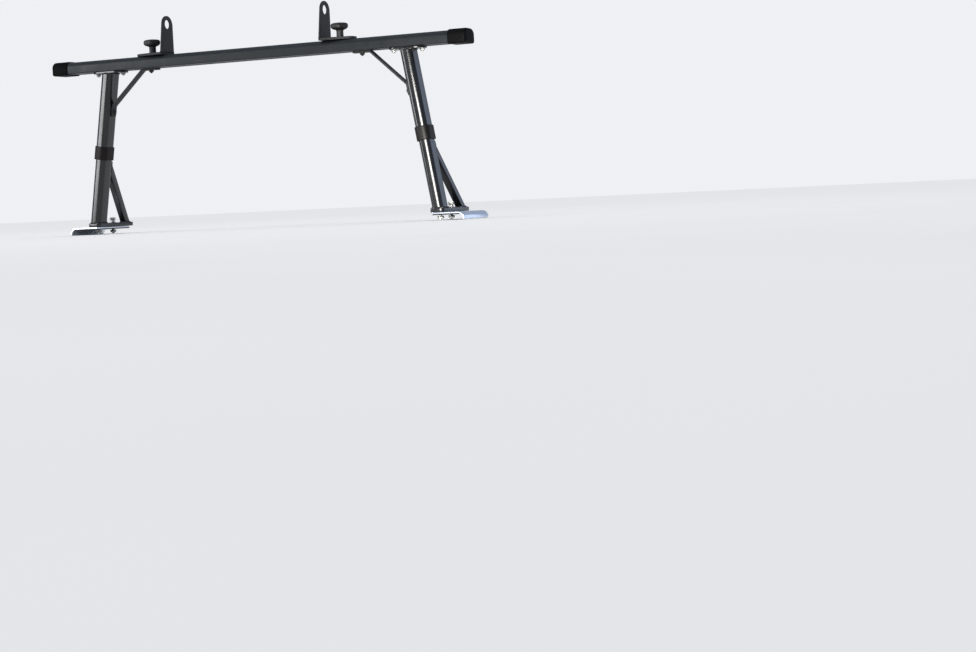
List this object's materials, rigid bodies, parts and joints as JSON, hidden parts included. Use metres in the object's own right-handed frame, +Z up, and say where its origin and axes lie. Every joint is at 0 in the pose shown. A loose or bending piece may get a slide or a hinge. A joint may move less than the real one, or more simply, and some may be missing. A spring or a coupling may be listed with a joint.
{
  "type": "ladder rack",
  "caption": "Over-bed ladder rack for a pickup truck: slotted crossbar on two inward-leaning telescopic braced legs, with rail brackets, sliding load stops and hand knobs.",
  "frame": {"origin": "middle of the rack on the plane that the lips of the rail brackets stand on, centred in the bounding box", "axes": "+X to the right along the crossbar, +Y forwards towards the cab, +Z up"},
  "size_m": [1.55, 0.215, 0.7175],
  "materials": {
    "bar_coat": "satin slate-grey powder coat on extruded aluminium",
    "leg_coat": "gloss black powder coat on steel",
    "stop_coat": "semi-matt black powder coat on steel",
    "cap_plastic": "moulded black plastic",
    "collar_plastic": "moulded brown-black plastic",
    "knob_plastic": "moulded black plastic",
    "rail_rubber": "black rubber sheet",
    "bracket_metal": "bright bent aluminium sheet",
    "zinc": "zinc-plated steel",
    "insert_brass": "turned brass"
  },
  "bodies": {
    "feet": {"rail_bracket_left": "bracket_metal", "rail_gasket_left": "rail_rubber", "foot_plate_left": "leg_coat", "lower_post_left": "leg_coat", "lower_brace_left": "leg_coat", "post_bolt_left": "zinc", "post_bolt_nut_left": "zinc", "foot_bolt_left": "zinc", "foot_bolt_nut_left": "zinc", "foot_bolt_bush_left": "zinc", "rail_bracket_right": "bracket_metal", "rail_gasket_right": "rail_rubber", "foot_plate_right": "leg_coat", "lower_post_right": "leg_coat", "lower_brace_right": "leg_coat", "post_bolt_right": "zinc", "post_bolt_nut_right": "zinc", "foot_bolt_right": "zinc", "foot_bolt_nut_right": "zinc", "foot_bolt_bush_right": "zinc"},
    "upper_leg_left": {"upper_post_left": "leg_coat", "collar_left": "collar_plastic", "lock_screw_left": "zinc", "top_plate_left": "leg_coat", "outer_plate_bolt_left": "zinc", "outer_plate_nut_left": "zinc", "inner_plate_bolt_left": "zinc", "inner_plate_nut_left": "zinc", "upper_strap_left": "stop_coat", "strap_screw_left": "stop_coat", "strap_bolt_left": "stop_coat", "strap_nut_left": "stop_coat"},
    "upper_leg_right": {"upper_post_right": "leg_coat", "collar_right": "collar_plastic", "lock_screw_right": "zinc", "top_plate_right": "leg_coat", "outer_plate_bolt_right": "zinc", "outer_plate_nut_right": "zinc", "inner_plate_bolt_right": "zinc", "inner_plate_nut_right": "zinc", "upper_strap_right": "stop_coat", "strap_screw_right": "stop_coat", "strap_bolt_right": "stop_coat", "strap_nut_right": "stop_coat"},
    "lifting_bar": {"crossbar": "bar_coat", "end_cap_left": "cap_plastic", "end_cap_right": "cap_plastic"},
    "left_stop": {"load_stop_left": "stop_coat", "stop_t_bolt_left": "zinc", "stop_washer_left": "zinc"},
    "right_stop": {"load_stop_right": "stop_coat", "stop_t_bolt_right": "zinc", "stop_washer_right": "zinc"},
    "left_knob": {"knob_left": "knob_plastic", "knob_insert_left": "insert_brass"},
    "right_knob": {"knob_right": "knob_plastic", "knob_insert_right": "insert_brass"}
  },
  "joints": [
    {"name": "bar_lift", "type": "slide", "parent": "feet", "child": "lifting_bar", "axis": [0, 0, 1], "range_m": [0, 0.175]},
    {"name": "leg_slide_left", "type": "slide", "parent": "feet", "child": "upper_leg_left", "axis": [0.165, 0, 0.9863], "range_m": [0, 0.17763]},
    {"name": "leg_slide_right", "type": "slide", "parent": "feet", "child": "upper_leg_right", "axis": [-0.165, 0, 0.9863], "range_m": [0, 0.17763]},
    {"name": "left_stop_slide", "type": "slide", "parent": "lifting_bar", "child": "left_stop", "axis": [1, 0, 0], "range_m": [-0.26, 0.3]},
    {"name": "left_knob_turn", "type": "hinge", "parent": "left_stop", "child": "left_knob", "pos_m": [-0.388, -0.0685, 0.5992], "axis": [0, 0, 1], "continuous": true},
    {"name": "right_stop_slide", "type": "slide", "parent": "lifting_bar", "child": "right_stop", "axis": [1, 0, 0], "range_m": [-0.235, 0.33]},
    {"name": "right_knob_turn", "type": "hinge", "parent": "right_stop", "child": "right_knob", "pos_m": [0.321, -0.0685, 0.5992], "axis": [0, 0, 1], "continuous": true}
  ],
  "couplings": [
    {"joint": "leg_slide_left", "follows": "bar_lift", "ratio": 1.0139},
    {"joint": "leg_slide_right", "follows": "bar_lift", "ratio": 1.0139}
  ]
}
